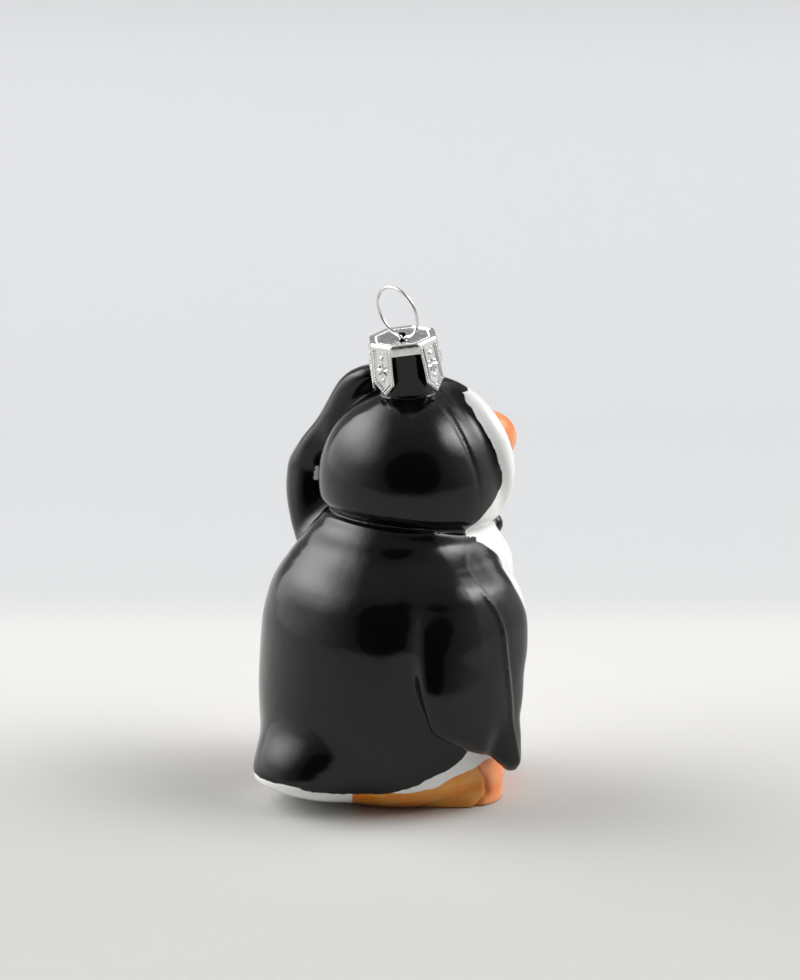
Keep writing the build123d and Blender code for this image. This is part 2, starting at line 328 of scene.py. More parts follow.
def skin(form, low, high, cell):
    """Corners and quads of the surface where the distance is nought, one corner to each cell it crosses."""
    xs, ys, zs = (np.arange(a, b + cell, cell) for a, b in zip(low, high))
    gx, gy = np.meshgrid(xs, ys, indexing="ij")
    level = np.stack([form(gx, gy, np.full_like(gx, z)) for z in zs], axis=2)
    inside = level < 0
    total = np.zeros(tuple(n - 1 for n in level.shape) + (3,))
    count = np.zeros(tuple(n - 1 for n in level.shape))
    for axis in range(3):
        others = [a for a in range(3) if a != axis]
        first = np.moveaxis(level, axis, 0)[:-1]
        last = np.moveaxis(level, axis, 0)[1:]
        crossed = (first < 0) != (last < 0)
        part = np.where(crossed, first / np.where(crossed, first - last, 1), 0)
        part, crossed = np.moveaxis(part, 0, axis), np.moveaxis(crossed, 0, axis)
        for da in (0, 1):
            for db in (0, 1):
                cut = [slice(None)] * 3
                cut[others[0]] = slice(da, da + level.shape[others[0]] - 1)
                cut[others[1]] = slice(db, db + level.shape[others[1]] - 1)
                hit = crossed[tuple(cut)]
                count += hit
                total[..., axis] += part[tuple(cut)]
                total[..., others[0]] += hit * da
                total[..., others[1]] += hit * db
    used = count > 0
    index = np.full(used.shape, -1)
    index[used] = np.arange(used.sum())
    place = np.argwhere(used) + total[used] / count[used][:, None]
    corners = place * cell + np.array([xs[0], ys[0], zs[0]])
    quads = []
    for axis in range(3):
        one, two = (axis + 1) % 3, (axis + 2) % 3
        inner = [slice(1, -1)] * 3
        inner[axis] = slice(0, -1)
        first = inside[tuple(inner)]
        inner[axis] = slice(1, None)
        last = inside[tuple(inner)]
        for outward in (True, False):
            at = np.argwhere(first & ~last if outward else last & ~first)
            at = at + np.array([0 if a == axis else 1 for a in range(3)])
            ring = []
            for d1, d2 in ((1, 1), (0, 1), (0, 0), (1, 0)):
                shift = np.zeros(3, int)
                shift[one], shift[two] = -d1, -d2
                ring.append(index[tuple((at + shift).T)])
            quads.append(np.stack(ring if outward else ring[::-1], axis=1))
    return corners, np.concatenate(quads)


def settle(corners, quads, form, rounds):
    """Corners evened out along the surface and set back exactly on it."""
    edges = np.concatenate([quads[:, [a, (a + 1) % 4]] for a in range(4)])
    degree = np.bincount(edges.ravel(), minlength=len(corners))[:, None]
    step = 0.02
    for _ in range(rounds):
        middle = np.zeros_like(corners)
        np.add.at(middle, edges[:, 0], corners[edges[:, 1]])
        np.add.at(middle, edges[:, 1], corners[edges[:, 0]])
        corners = corners + 0.5 * (middle / degree - corners)
        for _ in range(2):
            value = form(*corners.T)
            slope = np.stack([(form(*(corners + step * d).T) - form(*(corners - step * d).T)) / (2 * step)
                              for d in np.eye(3)], axis=1)
            size = np.maximum((slope * slope).sum(1), 0.2)
            corners = corners - slope * np.clip(value / size, -0.4, 0.4)[:, None]
    return corners


def plain_mesh(name, corners_mm, faces):
    """A smooth mesh object at the origin, from corners in millimetres."""
    mesh = bpy.data.meshes.new(name)
    mesh.from_pydata((np.asarray(corners_mm) / 1000).tolist(), [], np.asarray(faces).tolist())
    mesh.polygons.foreach_set("use_smooth", [True] * len(mesh.polygons))
    mesh.update()
    made = bpy.data.objects.new(name, mesh)
    bpy.context.scene.collection.objects.link(made)
    return made


figure_cell = 0.485
figure_low = (-33, -29, -1)
figure_high = (35, 37.5, 89.5)
settle_rounds = 3
corners, quads = skin(glass, figure_low, figure_high, figure_cell)
corners = settle(corners, quads, glass, settle_rounds)
figure = plain_mesh("blown_glass_figure", corners, quads)


def linear(hex_colour):
    """An sRGB hex colour as the linear colour that a shader takes."""
    parts = [int(hex_colour[i:i + 2], 16) / 255 for i in (1, 3, 5)]
    return tuple(p / 12.92 if p <= 0.04045 else ((p + 0.055) / 1.055) ** 2.4 for p in parts) + (1.0,)


def node(tree, kind, links=(), **settings):
    """One node with its settings: plain names are properties, and names that start with in_ are sockets."""
    made = tree.nodes.new(kind)
    for name, value in settings.items():
        if name.startswith("in_"):
            socket = name[3:].replace("_", " ")
            made.inputs[int(socket) if socket.isdigit() else socket].default_value = value
        else:
            setattr(made, name, value)
    for socket, source in links:
        tree.links.new(source, made.inputs[socket])
    return made


# Borders of the coats: height and y for the hood, and y and height or y and x for the others
hood_edge = [
    (49.0, 0.0), (51.6, -1.2), (53.1, -2.0), (55.1, -4.0), (56.7, -6.2), (58.6, -8.2), (60.6, -9.4),
    (63.0, -9.1), (65.3, -8.5), (69.7, -7.5), (73.8, -6.9), (75.3, -7.0), (76.8, -7.6), (78.0, -8.2),
    (79.5, -8.2),
]
shoulder_edge = [
    (-11.0, 41.5), (-9.9, 43.5), (-9.1, 44.9), (-8.4, 46.1), (-6.8, 48.1), (-5.0, 49.5), (-3.1, 50.3),
    (-1.3, 51.0), (2.0, 53.0),
]
shoulder_steep = 1.4
shoulder_low = 37.0
shoulder_front = -9.0
shoulder_side = -12.0
coat_hem = [
    (-8.0, 62.0), (-4.0, 52.0), (-2.0, 44.0), (0.0, 34.0), (2.0, 24.0), (4.0, 16.4), (5.6, 13.2),
    (7.1, 11.2), (9.2, 9.7), (11.5, 8.8), (13.3, 8.0), (15.6, 6.8), (18.2, 5.6), (20.6, 4.9),
    (23.6, 4.8), (26.9, 5.0), (31.0, 5.7), (33.4, 6.5), (36.0, 6.6),
]
foot_top = [
    (-22.0, 4.5), (-12.0, 6.0), (-5.0, 7.8), (0.0, 9.6), (1.7, 9.2), (2.8, 8.7), (5.3, 8.3),
    (7.1, 7.9), (9.6, 7.1), (11.8, 6.0), (14.6, 5.4), (16.7, 5.2), (19.1, 5.3), (26.0, 6.0),
]
foot_inner = [(-22.0, 2.0), (-10.0, 2.2), (5.0, 3.0), (30.0, 3.0)]
foot_back = 10.4
foot_back_way = (0.643, 0.766)
toes_back = -4.0
toes_gap = 2.2
toes_way = (0.75, 0.66)
eye_centre = (6.2, -16.4, 69.6)
eye_radii = (1.7, 3.2, 2.3)

# How far each coat runs past its own form, and the values well inside a coat and well outside it
hanging_margin = 0.5
raised_margin = 0.6
bow_margin = 0.25
beak_margin = 0.35
neck_from = 0.5
coated = 2.0
bare = -9.0

x, y, z = corners.T
step = 0.1
hem_slope = (through(y + step, coat_hem, 1) - through(y - step, coat_hem, 1)) / (2 * step)
coat = (z - through(y, coat_hem, 1)) / np.sqrt(1 + hem_slope ** 2)
hood = y - through(z, hood_edge, 1)
black = np.where(head_form(x, y, z) < body_bulb(x, y, z), hood, coat)
shoulder = np.minimum((through(y, shoulder_edge, 1) - z) / shoulder_steep,
                      np.minimum(z - shoulder_low, y - shoulder_front))
black = np.maximum(black, np.where(x < shoulder_side, shoulder, bare))
black = np.maximum(black, hanging_margin - flipper(x, y, z, hanging_flipper))
black = np.maximum(black, raised_margin - flipper(x, y, z, raised_flipper))
black = np.maximum(black, bow_margin - bow_form(x, y, z))
black = np.maximum(black, -oval(np.abs(x), y, z, eye_centre, eye_radii))
black = np.maximum(black, np.where(neck_axis(x, y, z)[1] > neck_from, coated, bare))
orange = np.minimum(through(y, foot_top, 1) - z, np.abs(x) - through(y, foot_inner, 1))
orange = np.minimum(orange, foot_back + foot_back_way[0] * np.abs(x) - foot_back_way[1] * y)
toe_edge = toes_way[0] * (np.abs(x) - toes_gap) - toes_way[1] * z
orange = np.where(y < toes_back, np.minimum(orange, toe_edge), orange)
orange = np.maximum(orange, beak_margin - beak_form(x, y, z))
toe_side = through(z, toe_crease, 1) - y
for name, distance in (("black_coat", black), ("orange_coat", orange), ("toe_side", toe_side)):
    layer = figure.data.attributes.new(name, "FLOAT", "POINT")
    layer.data.foreach_set("value", np.clip(distance, -6, 6).astype(np.float32))

# Lacquer on blown glass: deep, wet-looking colour that mirrors the room softly. Its edges wander as a brush
# leaves them, the orange is streaked where it lies thin, and the glass has long waves and a fine peel.
brush_mm = 2.381
wander_mm = 0.35
streak_mm = (6.25, 6.25, 2.381)
peel_mm = 1.5385
swell_mm = 7.692
lacquer = bpy.data.materials.new("glossy_lacquer_on_glass")
lacquer.use_nodes = True
lacquer.node_tree.nodes.clear()
paint = lacquer.node_tree
place = node(paint, "ShaderNodeTexCoord").outputs["Object"]
brush = node(paint, "ShaderNodeTexNoise", [("Vector", place)], in_Scale=1000 / brush_mm, in_Detail=2.0)
wander = node(paint, "ShaderNodeMath", [(0, brush.outputs["Fac"])], operation="MULTIPLY_ADD",
              in_1=2 * wander_mm, in_2=-wander_mm)


def covered(attribute, softness):
    """How far one coat covers a point, with the small wander of a brushed edge."""
    raw = node(paint, "ShaderNodeAttribute", attribute_name=attribute)
    moved = node(paint, "ShaderNodeMath", [(0, raw.outputs["Fac"]), (1, wander.outputs[0])], operation="ADD")
    return node(paint, "ShaderNodeMapRange", [("Value", moved.outputs[0])], in_From_Min=-softness,
                in_From_Max=softness).outputs["Result"]


streaks = node(paint, "ShaderNodeMapping", [("Vector", place)], in_Scale=[1000 / mm for mm in streak_mm])
wash = node(paint, "ShaderNodeTexNoise", [("Vector", streaks.outputs["Vector"])], in_Scale=1.0, in_Detail=3.0)


def washed(thin, thick):
    """An uneven wash of one coat, from where it lies thin to where it lies thick."""
    made = node(paint, "ShaderNodeValToRGB", [("Fac", wash.outputs["Fac"])])
    made.color_ramp.elements[0].position = 0.32
    made.color_ramp.elements[0].color = linear(thick)
    made.color_ramp.elements[1].position = 0.66
    made.color_ramp.elements[1].color = linear(thin)
    return made.outputs["Color"]


toe = node(paint, "ShaderNodeAttribute", attribute_name="toe_side").outputs["Fac"]
toe_part = node(paint, "ShaderNodeMapRange", [("Value", toe)], in_From_Min=-0.4, in_From_Max=0.4)
oranges = node(paint, "ShaderNodeMix",
               [("Factor", toe_part.outputs["Result"]), (6, washed("#e6a24e", "#e07f14")),
                (7, washed("#f2a26c", "#f08648"))], data_type="RGBA")
# Painted shade: the orange turns darker, to a deep red-orange, along the toe crease.
from_crease = node(paint, "ShaderNodeMath", [(0, toe)], operation="ABSOLUTE")
crease_painted_shade = node(paint, "ShaderNodeMapRange", [("Value", from_crease.outputs[0])], in_From_Max=0.7,
              in_To_Min=0.75, in_To_Max=0.0).outputs["Result"]
oranges = node(paint, "ShaderNodeMix", [("Factor", crease_painted_shade), (6, oranges.outputs[2])], data_type="RGBA",
               in_7=linear("#c24a08"))
under = node(paint, "ShaderNodeMix", [("Factor", covered("orange_coat", 0.12)), (7, oranges.outputs[2])],
             data_type="RGBA", in_6=linear("#f3f3f1"))
coat_cover = covered("black_coat", 0.08)
# Chips that bare the white coat: place and radius
chips = [
    ((22.2, 4.5, 56.4), 0.6), ((22.2, 4.3, 57.3), 0.65), ((22.1, 4.1, 58.2), 0.5),
    ((-5.5, 33.8, 7.4), 0.3), ((-6.3, 33.4, 6.7), 0.3), ((-7.7, 32.7, 6.8), 0.35),
    ((-3.3, 34.5, 6.5), 0.3), ((-15.3, 24.2, 8.0), 0.25), ((-12.6, 11.0, 66.9), 0.3),
]
chip_edge = 0.06
for spot, chip_size in chips:
    far = node(paint, "ShaderNodeVectorMath", [(0, place)], operation="DISTANCE",
               in_1=Vector(spot) / 1000)
    ragged = node(paint, "ShaderNodeMath", [(0, far.outputs["Value"]), (2, wander.outputs[0])],
                  operation="MULTIPLY_ADD", in_1=1000.0)
    kept = node(paint, "ShaderNodeMapRange", [("Value", ragged.outputs[0])],
                in_From_Min=chip_size - chip_edge, in_From_Max=chip_size + chip_edge)
    coat_cover = node(paint, "ShaderNodeMath", [(0, coat_cover), (1, kept.outputs["Result"])],
                      operation="MULTIPLY").outputs[0]
coats = node(paint, "ShaderNodeMix", [("Factor", coat_cover), (6, under.outputs[2])],
             data_type="RGBA", in_7=linear("#060707"))
peel = node(paint, "ShaderNodeTexNoise", [("Vector", place)], in_Scale=1000 / peel_mm, in_Detail=1.0)
ripple = node(paint, "ShaderNodeBump", [("Height", peel.outputs["Fac"])], in_Strength=0.05,
              in_Distance=0.0004)
swell = node(paint, "ShaderNodeTexNoise", [("Vector", place)], in_Scale=1000 / swell_mm, in_Detail=1.5)
waves = node(paint, "ShaderNodeBump",
             [("Height", swell.outputs["Fac"]), ("Normal", ripple.outputs["Normal"])], in_Strength=0.3,
             in_Distance=0.0006)
shader = node(paint, "ShaderNodeBsdfPrincipled",
              [("Base Color", coats.outputs[2]), ("Normal", waves.outputs["Normal"])], in_Roughness=0.15,
              in_IOR=1.5, in_Specular_IOR_Level=0.4)
node(paint, "ShaderNodeOutputMaterial", [("Surface", shader.outputs["BSDF"])])
figure.data.materials.append(lacquer)
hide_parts("glass_figure")
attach(figure, "figure")

# Cap
# An eight-sided crown pressed from thin silvered sheet, with a beaded top, a slot for the wire, a short lip
# and six pointed petals that grip the glass neck. Each petal is stamped with a border, dots and a star.

cap_lean = radians(8.0)
cap_turn = radians(144.0)
cap_flat = 6.3
cap_sheet = 0.3
petal_half = 2.35
petal_length = 9.6
petal_shoulder = 7.4
petal_flares = {1: 8.0, 2: 3.0, 3: 1.0, 5: 1.5, 6: 0.5, 7: 1.0}
slot_half = (3.2, 0.75)
bead_radius = 0.2
bead_spacing = 0.5
cap_seat = np.array([0.0, 1.077, 87.433])
cap_up = np.array([0.0, sin(cap_lean), cos(cap_lean)])
cap_back = np.array([0, cos(cap_lean), -sin(cap_lean)])
cap_slot = cos(cap_turn) * np.array([1.0, 0, 0]) + sin(cap_turn) * cap_back
cap_side = np.cross(cap_up, cap_slot)


def on_cap(out, angle, rise):
    """Points given by distance from the cap's axis, angle from its slot and height over its seat."""
    out, angle, rise = np.broadcast_arrays(out, angle, rise)
    way = np.cos(angle)[..., None] * cap_slot + np.sin(angle)[..., None] * cap_side
    return cap_seat + out[..., None] * way + rise[..., None] * cap_up


def closed_rings(rings):
    """Quads between each ring of points and the next, and from the last ring to the first."""
    count = len(rings[0])
    quads = []
    for i in range(len(rings)):
        j = (i + 1) % len(rings)
        for k in range(count):
            m = (k + 1) % count
            quads.append((i * count + k, j * count + k, j * count + m, i * count + m))
    return np.concatenate(rings), quads


crown_steps = 192
crown_corner = 1.068
around = np.arange(crown_steps) * 2 * pi / crown_steps
eighth = (around + pi / 8) % (pi / 4) - pi / 8
corner = np.minimum(1 / np.cos(eighth), crown_corner)
slot_out = np.minimum(slot_half[0] / np.maximum(np.abs(np.cos(around)), 1e-6),
                      slot_half[1] / np.maximum(np.abs(np.sin(around)), 1e-6))


def top_ring(share, rise, flat=4.4):
    """A ring on the cap's top, between the edge of the slot and an eight-sided line."""
    return on_cap(slot_out * (1 - share) + flat * corner * share, around, rise + 0 * around)


crown_rings = [top_ring(0, 0.0), top_ring(0, 0.26), top_ring(0.06, cap_sheet), top_ring(0.5, cap_sheet)]
# Half width across the flats and height over the seat, out over the top, round the lip and back inside
crown_section = [
    (4.4, 0.3), (4.55, 0.36), (4.7, 0.3), (5.3, 0.28), (5.5, 0.34), (5.7, 0.5), (5.9, 0.54), (6.1, 0.46),
    (6.24, 0.28), (6.3, 0.0), (6.32, -0.5), (6.3, -1.1), (6.32, -1.5), (6.28, -1.6), (6.06, -1.6),
    (6.0, -1.5), (6.0, -0.3), (5.9, -0.08), (5.6, 0.0), (4.4, 0.0),
]
crown_rings += [on_cap(flat * corner, around, rise) for flat, rise in crown_section]
crown_rings += [top_ring(0.5, 0.0)]
crown_corners, crown_quads = closed_rings(crown_rings)


# Stamping of a petal: the star's place and reach, the dots as place, size and rise, and the pairs of dots
star_down = 4.5
star_reach = 1.25
petal_dots = [(2.2, 0.36, 0.34), (3.0, 0.16, 0.14), (6.5, 0.3, 0.3), (7.4, 0.16, 0.14)]
pairs_down = (1.2, 5.9)
pair_half = 0.55
petal_bulge = 0.12
petal_top = 0.12
petal_stand = 0.04


def ridge(far, width):
    """A soft raised line or dot, full where the distance is nought."""
    return np.exp(-(far / width) ** 2)


def stamped(a, b):
    """How far the stamping stands out of a petal, at a across it and b down from its top."""
    slant = petal_half / (petal_length - petal_shoulder)
    point = (petal_length - b - np.abs(a) / slant) / np.sqrt(1 + 1 / slant ** 2)
    edge = np.minimum(petal_half - np.abs(a), point)
    high = 0.2 * ridge(edge - 0.85, 0.13) - 0.08 * ridge(edge - 0.55, 0.12)
    high += 0.13 * ridge(edge - 1.25, 0.1) * (b > petal_shoulder - 0.8)
    far, way = np.hypot(a, b - star_down), np.arctan2(b - star_down, a)
    spread = np.abs((way + pi / 8) % (pi / 4) - pi / 8) * far
    high += 0.3 * ridge(spread, 0.13) * (far < star_reach) * (far > 0.2) + 0.28 * ridge(far, 0.24)
    for at, size, rise in petal_dots:
        high += rise * ridge(np.hypot(a, b - at), size)
    for at in pairs_down:
        high += 0.16 * ridge(np.hypot(np.abs(a) - pair_half, b - at), 0.16)
    return high * np.clip((b - 0.5) / 0.5, 0, 1)


def on_petal(side, a, b, out):
    """A point on one petal: a across it, b down from its top and out from its face."""
    lean = np.tan(radians(petal_flares[side]))
    bulge = petal_bulge * np.sin(np.clip(b, 0, petal_length) / petal_length * pi)
    away = cap_flat + out + lean * np.maximum(b - 1.0, 0) + bulge
    facet = side * pi / 4
    return on_cap(np.hypot(away, a), facet + np.arctan2(a, away), petal_top - b)


petal_corners, petal_quads, bead_lines = [], [], []
down = np.linspace(0, 1, 90) * petal_length
across = np.linspace(-1, 1, 41)
half = np.where(down < petal_shoulder, petal_half,
                petal_half * (petal_length - down) / (petal_length - petal_shoulder)) + 0.02
grid_a, grid_b = half[:, None] * across, down[:, None] + 0 * across
flat_index = np.arange(grid_a.size).reshape(grid_a.shape)
for side in petal_flares:
    base = sum(len(c) for c in petal_corners)
    face = on_petal(side, grid_a, grid_b, petal_stand + stamped(grid_a, grid_b)).reshape(-1, 3)
    rear = on_petal(side, grid_a, grid_b, -cap_sheet + petal_stand).reshape(-1, 3)
    petal_corners += [face, rear]
    cells = np.stack([flat_index[:-1, :-1], flat_index[1:, :-1], flat_index[1:, 1:],
                      flat_index[:-1, 1:]], -1).reshape(-1, 4)
    petal_quads += (cells + base).tolist() + (cells[:, ::-1] + base + grid_a.size).tolist()
    rim = np.concatenate([flat_index[0], flat_index[1:, -1], flat_index[-1, -2::-1],
                          flat_index[-2:0:-1, 0]])
    for i in range(len(rim)):
        p, q = rim[i] + base, rim[(i + 1) % len(rim)] + base
        petal_quads.append((p, q, q + grid_a.size, p + grid_a.size))
    line_b = np.array([0.9, petal_shoulder - 0.1, petal_length - 0.42, petal_shoulder - 0.1, 0.9])
    line_a = np.array([-1, -1, 0, 1, 1]) * (petal_half - 0.26)
    bead_lines.append(on_petal(side, line_a, line_b, 0.08))
crown_base = len(crown_corners)
cap_corners = np.concatenate([crown_corners] + petal_corners)
cap_quads = crown_quads + [tuple(i + crown_base for i in quad) for quad in petal_quads]
cap = plain_mesh("pressed_cap_crown", cap_corners, cap_quads)

# Silvered sheet: a bright mirror, rubbed dull in spots where the stamp and fingers have touched it
rubbed_mm = 1.111
silvered = bpy.data.materials.new("silvered_pressed_sheet")
silvered.use_nodes = True
silvered.node_tree.nodes.clear()
foil = silvered.node_tree
spot = node(foil, "ShaderNodeTexCoord").outputs["Object"]
rubbed = node(foil, "ShaderNodeTexNoise", [("Vector", spot)], in_Scale=1000 / rubbed_mm, in_Detail=3.0)
polish = node(foil, "ShaderNodeMapRange", [("Value", rubbed.outputs["Fac"])], in_From_Min=0.3,
              in_From_Max=0.7, in_To_Min=0.14, in_To_Max=0.34)
dimple = node(foil, "ShaderNodeBump", [("Height", rubbed.outputs["Fac"])], in_Strength=0.12,
              in_Distance=0.0002)
metal = node(foil, "ShaderNodeBsdfPrincipled",
             [("Roughness", polish.outputs["Result"]), ("Normal", dimple.outputs["Normal"])],
             in_Metallic=1.0)
metal.inputs["Base Color"].default_value = linear("#e6e6e4")
node(foil, "ShaderNodeOutputMaterial", [("Surface", metal.outputs["BSDF"])])
cap.data.materials.append(silvered)
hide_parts("ornament_cap")
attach(cap, "cap")

# Beads stand in a row round the cap's top and along the edges of each petal
bead_ring = 5.0
bead_corner = 1.06
ring_angle = np.arange(65) * 2 * pi / 64
ring_corner = np.minimum(1 / np.cos((ring_angle + pi / 8) % (pi / 4) - pi / 8), bead_corner)
bead_lines.append(on_cap(bead_ring * ring_corner, ring_angle, cap_sheet))
bead_path = bpy.data.meshes.new("bead_lines")
bead_points = np.concatenate(bead_lines) / 1000
bead_edges, start = [], 0
for line in bead_lines:
    bead_edges += [(start + i, start + i + 1) for i in range(len(line) - 1)]
    start += len(line)
bead_path.from_pydata(bead_points.tolist(), bead_edges, [])
bead_holder = bpy.data.objects.new("bead_lines", bead_path)
bpy.context.scene.collection.objects.link(bead_holder)
beading = bpy.data.node_groups.new("row_of_beads", "GeometryNodeTree")
beading.interface.new_socket("Lines", in_out="INPUT", socket_type="NodeSocketGeometry")
size_socket = beading.interface.new_socket("Bead radius", in_out="INPUT", socket_type="NodeSocketFloat")
space_socket = beading.interface.new_socket("Bead spacing", in_out="INPUT", socket_type="NodeSocketFloat")
beading.interface.new_socket("Beads", in_out="OUTPUT", socket_type="NodeSocketGeometry")
given = node(beading, "NodeGroupInput")
lines = node(beading, "GeometryNodeMeshToCurve", [("Mesh", given.outputs["Lines"])])
spaced = node(beading, "GeometryNodeResampleCurve",
              [("Curve", lines.outputs["Curve"]), ("Length", given.outputs["Bead spacing"])], mode="LENGTH")
bead = node(beading, "GeometryNodeMeshUVSphere", [("Radius", given.outputs["Bead radius"])], in_Segments=8,
            in_Rings=5)
strung = node(beading, "GeometryNodeInstanceOnPoints",
              [("Points", spaced.outputs["Curve"]), ("Instance", bead.outputs["Mesh"])])
whole = node(beading, "GeometryNodeRealizeInstances", [("Geometry", strung.outputs["Instances"])])
round_beads = node(beading, "GeometryNodeSetShadeSmooth", [("Geometry", whole.outputs["Geometry"])])
plated = node(beading, "GeometryNodeSetMaterial", [("Geometry", round_beads.outputs["Geometry"])],
              in_Material=silvered)
node(beading, "NodeGroupOutput", [("Beads", plated.outputs["Geometry"])])
stringer = bead_holder.modifiers.new("row_of_beads", "NODES")
stringer.node_group = beading
stringer[size_socket.identifier] = bead_radius / 1000
stringer[space_socket.identifier] = bead_spacing / 1000
bead_holder.update_tag()
made = bpy.data.meshes.new_from_object(bead_holder.evaluated_get(bpy.context.evaluated_depsgraph_get()))
beads = bpy.data.objects.new("cap_beading", made)
bpy.context.scene.collection.objects.link(beads)
bpy.data.objects.remove(bead_holder)
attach(beads, "cap")

# Hanger wire
# One length of bright sprung steel wire, bent into a round loop that narrows to a waist in the cap's slot.
# Its two legs spring apart inside the neck and hold the cap down.

wire_radius = 0.31
loop_radius = 5.1
loop_rise = 5.25
waist_half = 0.45
loop_lean = radians(7.5)
loop_turn = radians(4.6)
leg_spread = 3.39
leg_depth = 10.05
waist_along = 2.2
waist_rise = 0.9
waist_round = 0.16
wire_sides = 12
waist = cap_seat + waist_along * cap_slot + waist_rise * cap_up
loop_across = cos(loop_turn) * np.array([1.0, 0, 0]) + sin(loop_turn) * cap_back
loop_up = cos(loop_lean) * cap_up + sin(loop_lean) * np.cross(cap_up, loop_across)
leg_foot = cap_seat - leg_depth * cap_up
open_angle = np.arcsin(waist_half / loop_radius) + waist_round
turns = np.linspace(-pi / 2 + open_angle, 1.5 * pi - open_angle, 73)
loop_points = waist + loop_radius * np.cos(turns)[:, None] * loop_across
loop_points = loop_points + (loop_rise + loop_radius * np.sin(turns))[:, None] * loop_up


def leg(side):
    """Points of one leg, from its end in the neck up to the waist in the slot."""
    pinch = waist + side * waist_half * loop_across
    end = leg_foot + side * leg_spread * loop_across
    return [end + (pinch - end) * share for share in np.linspace(0, 1, 14)]


wire_line = np.array(leg(1) + loop_points.tolist() + leg(-1)[::-1])
for _ in range(2):
    near_start = 0.75 * wire_line[:-1] + 0.25 * wire_line[1:]
    near_end = 0.25 * wire_line[:-1] + 0.75 * wire_line[1:]
    cut = np.stack([near_start, near_end], 1)
    wire_line = np.concatenate([wire_line[:1], cut.reshape(-1, 3), wire_line[-1:]])
run = np.gradient(wire_line, axis=0)
run /= np.linalg.norm(run, axis=1)[:, None]
across_wire = np.cross(run[0], loop_up)
across_wire /= np.linalg.norm(across_wire)
wire_corners, wire_faces = [], []
ring_turn = np.arange(wire_sides) * 2 * pi / wire_sides
for point, along in zip(wire_line, run):
    across_wire = across_wire - along * (across_wire @ along)
    across_wire /= np.linalg.norm(across_wire)
    other = np.cross(along, across_wire)
    wire_corners.append(point + wire_radius * (np.cos(ring_turn)[:, None] * across_wire
                                               + np.sin(ring_turn)[:, None] * other))
for i in range(len(wire_corners) - 1):
    here, there = i * wire_sides, (i + 1) * wire_sides
    for k in range(wire_sides):
        m = (k + 1) % wire_sides
        wire_faces.append((here + k, here + m, there + m, there + k))
last_ring = (len(wire_corners) - 1) * wire_sides
wire_faces.append(tuple(range(wire_sides - 1, -1, -1)))
wire_faces.append(tuple(range(last_ring, last_ring + wire_sides)))
wire_mesh = bpy.data.meshes.new("sprung_wire_loop")
wire_mesh.from_pydata((np.concatenate(wire_corners) / 1000).tolist(), [], wire_faces)
wire_mesh.polygons.foreach_set("use_smooth", [True] * len(wire_mesh.polygons))
wire = bpy.data.objects.new("sprung_wire_loop", wire_mesh)
bpy.context.scene.collection.objects.link(wire)
# Drawn steel: bright and hard, with a sheen that changes in short stretches along the wire
strand_mm = 0.6667
steel = bpy.data.materials.new("bright_drawn_steel_wire")
steel.use_nodes = True
steel.node_tree.nodes.clear()
drawn = steel.node_tree
on_wire = node(drawn, "ShaderNodeTexCoord").outputs["Object"]
strand = node(drawn, "ShaderNodeTexNoise", [("Vector", on_wire)], in_Scale=1000 / strand_mm, in_Detail=2.0)
shine = node(drawn, "ShaderNodeMapRange", [("Value", strand.outputs["Fac"])], in_To_Min=0.12, in_To_Max=0.3)
bright = node(drawn, "ShaderNodeBsdfPrincipled", [("Roughness", shine.outputs["Result"])], in_Metallic=1.0)
bright.inputs["Base Color"].default_value = linear("#dcdddd")
node(drawn, "ShaderNodeOutputMaterial", [("Surface", bright.outputs["BSDF"])])
wire_mesh.materials.append(steel)
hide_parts("hanger_wire")
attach(wire, "hanger")

# Stage
# A pale cloth, with painted shade in its colour, that curves up from the floor into a backdrop, soft windows
# on both sides and behind, a dark flag before the camera that keeps the black coat deep, and the photograph's
# view.

floor_half = 1.4
floor_front = -1.6
floor_back = 1.75
backdrop_height = 1.8
bend_radius = 0.35
bend_steps = 12
view_right = Vector((-0.643, -0.766, 0.0))
view_back = Vector((-0.7416, 0.6223, 0.2504))
view_up = view_back.cross(view_right)
away = Vector((-view_back.x, -view_back.y, 0)).normalized()
rows = [(floor_front, 0.0)]
for i in range(bend_steps + 1):
    bend = i * pi / (2 * bend_steps)
    rows.append((floor_back - bend_radius + bend_radius * sin(bend), bend_radius - bend_radius * cos(bend)))
rows += [(floor_back, backdrop_height)]
sweep_mesh = bpy.data.meshes.new("cloth_sweep")
sweep_points = []
for along, rise in rows:
    for side in (-floor_half, floor_half):
        sweep_points.append(away * along + view_right * side + Vector((0, 0, rise)))
sweep_faces = [(2 * i, 2 * i + 1, 2 * i + 3, 2 * i + 2) for i in range(len(rows) - 1)]
sweep_mesh.from_pydata(sweep_points, [], sweep_faces)
sweep = bpy.data.objects.new("cloth_sweep", sweep_mesh)
bpy.context.scene.collection.objects.link(sweep)
for face in sweep_mesh.polygons:
    face.use_smooth = True
# Cotton sheet: matt and pale. Its colour carries painted shade: darker in front, darkest out of view in front
# where the black coat mirrors it, lightest round the figure and greyer behind it. Its threads are drawn
# coarser than real ones, so they show.
thread_mm = 0.3846
tone_span = (-0.55, 0.94)
floor_painted_shade_tones = [
    (0.05, "#666664"), (0.13, "#b0b0ae"), (0.32, "#b4b4b2"), (0.38, "#c3c2c0"), (0.415, "#c9c8c6"),
    (0.435, "#c9c8c6"), (0.455, "#bcbdbe"), (0.56, "#bbbcbe"),
]
cloth = bpy.data.materials.new("white_cotton_sheet_with_painted_shade")
cloth.use_nodes = True
cloth.node_tree.nodes.clear()
sheet = cloth.node_tree
laid = node(sheet, "ShaderNodeTexCoord").outputs["Object"]
behind = node(sheet, "ShaderNodeVectorMath", [(0, laid)], operation="DOT_PRODUCT", in_1=away)
depth = node(sheet, "ShaderNodeMapRange", [("Value", behind.outputs["Value"])], in_From_Min=tone_span[0],
             in_From_Max=tone_span[1])
